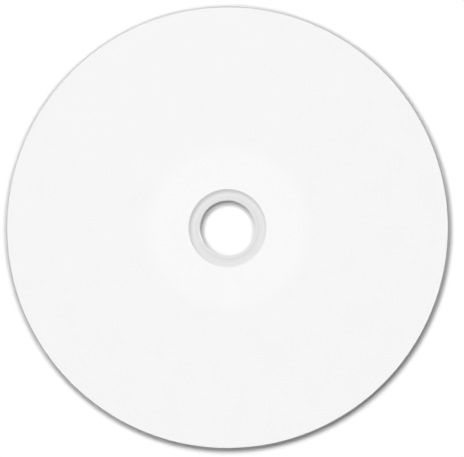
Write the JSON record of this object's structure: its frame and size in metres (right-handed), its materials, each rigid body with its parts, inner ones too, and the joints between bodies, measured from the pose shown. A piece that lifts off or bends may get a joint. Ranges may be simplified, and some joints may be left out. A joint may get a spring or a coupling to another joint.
{
  "type": "printable dvd",
  "caption": "Blank recordable disc, white printable face up: two clear bonded halves over dye and mirror films, with a spindle hole, clear hub and stacking ring.",
  "frame": {"origin": "centre of the spindle hole, in the plane that the stacking ring rests on", "axes": "+Z along the spindle hole, out of the white printable face; +Y is up in the picture; the disc is round about Z"},
  "size_m": [0.12, 0.12, 0.0014],
  "materials": {
    "clear_polycarbonate": "gloss",
    "recording_dye": "gloss",
    "mirror_film": "polished",
    "bonding_resin": "gloss",
    "white_coat": "matte"
  },
  "bodies": {
    "root": {"read_side_substrate": "clear_polycarbonate", "dye_layer": "recording_dye", "mirror_layer": "mirror_film", "bonding_resin": "bonding_resin", "label_side_substrate": "clear_polycarbonate", "printable_coat": "white_coat"}
  },
  "joints": []
}
